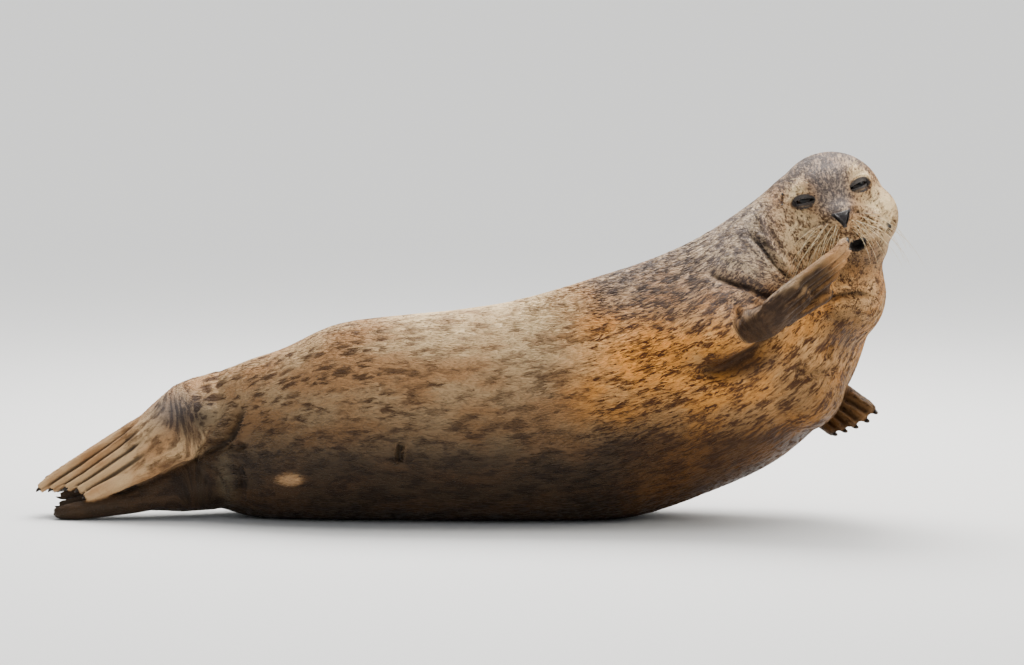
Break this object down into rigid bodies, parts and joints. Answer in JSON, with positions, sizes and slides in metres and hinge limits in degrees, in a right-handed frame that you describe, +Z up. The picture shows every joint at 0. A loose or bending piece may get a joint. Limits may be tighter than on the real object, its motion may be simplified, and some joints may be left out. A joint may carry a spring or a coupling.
{
  "type": "harbor seal",
  "caption": "Life-size harbor seal lying on its side, head raised, one fore flipper lifted to its mouth, hind flippers pressed together.",
  "frame": {"origin": "middle of the seal's box seen from above, at the level of the floor it lies on", "axes": "+X towards the head, +Y towards the back, +Z up; the belly faces -Y"},
  "size_m": [1.5538, 0.423, 0.6619],
  "materials": {
    "coat": "short flat fur, golden brown on the flank and dark brown below, with small darker spots",
    "pale_coat": "short pale fur of the head and throat, mottled cream and brown",
    "flipper": "damp short dark fur over the flippers, tan along the digits",
    "eye": "wet, glossy and near black",
    "claw": "dark grey horn, smooth and half matt",
    "nose": "bare, damp, finely pebbled dark skin",
    "whisker": "stiff pale beaded whiskers"
  },
  "bodies": {
    "root": {"belly": "coat", "chest": "coat", "eye_left": "eye", "eye_right": "eye", "fore_claw_left_1": "claw", "fore_claw_left_2": "claw", "fore_claw_left_3": "claw", "fore_claw_left_4": "claw", "fore_claw_left_5": "claw", "fore_claw_right_1": "claw", "fore_claw_right_2": "claw", "fore_claw_right_3": "claw", "fore_claw_right_4": "claw", "fore_claw_right_5": "claw", "fore_flipper_left": "flipper", "fore_flipper_right": "flipper", "head": "pale_coat", "hind_claw_left_1": "claw", "hind_claw_left_2": "claw", "hind_claw_left_3": "claw", "hind_claw_left_4": "claw", "hind_claw_left_5": "claw", "hind_claw_right_1": "claw", "hind_claw_right_2": "claw", "hind_claw_right_3": "claw", "hind_claw_right_4": "claw", "hind_claw_right_5": "claw", "hind_flipper_left": "flipper", "hind_flipper_right": "flipper", "neck": "pale_coat", "rump": "coat", "tail": "coat"}
  },
  "joints": []
}
